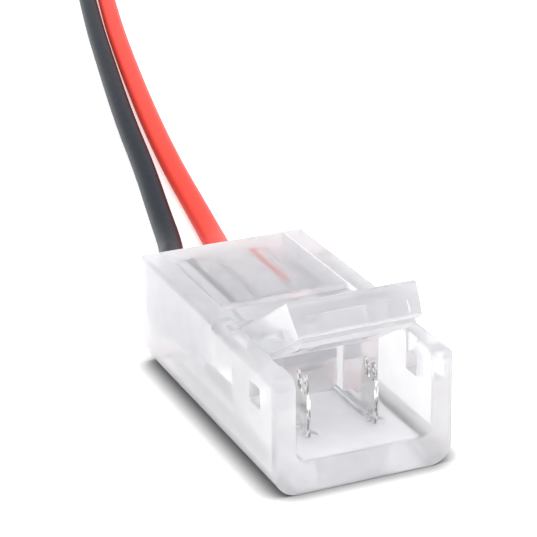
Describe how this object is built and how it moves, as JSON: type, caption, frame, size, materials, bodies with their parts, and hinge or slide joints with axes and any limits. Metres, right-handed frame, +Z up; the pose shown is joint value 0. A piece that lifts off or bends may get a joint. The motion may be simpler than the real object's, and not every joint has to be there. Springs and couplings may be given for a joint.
{
  "type": "led strip connector",
  "caption": "Clear moulded connector with a hinged press lid over forked contacts that pierce an LED strip's pads, and a red and a black lead leaving its rear.",
  "frame": {"origin": "centre of the housing's underside", "axes": "the strip goes in at -Y, the leads leave at +Y, and +Z is up through the lid"},
  "size_m": [0.0312, 0.1172, 0.0109],
  "materials": {
    "clear_plastic": "clear moulded polycarbonate, polished",
    "contact_metal": "tinned stamping",
    "black_insulation": "smooth extruded PVC",
    "red_insulation": "smooth extruded PVC",
    "strand_metal": "tinned copper strands"
  },
  "bodies": {
    "body": {"housing": "clear_plastic", "wire_cover": "clear_plastic", "contact_left": "contact_metal", "contact_right": "contact_metal", "black_lead_end": "black_insulation", "red_lead_end": "red_insulation", "black_lead": "black_insulation", "red_lead": "red_insulation", "black_lead_strands": "strand_metal", "red_lead_strands": "strand_metal"},
    "lid": {"strip_lid": "clear_plastic"}
  },
  "joints": [
    {"name": "strip_lid_hinge", "type": "hinge", "parent": "body", "child": "lid", "pos_m": [0, -0.0024, 0.0062], "axis": [1, 0, 0], "range_deg": [-58.5, 31.5]}
  ]
}
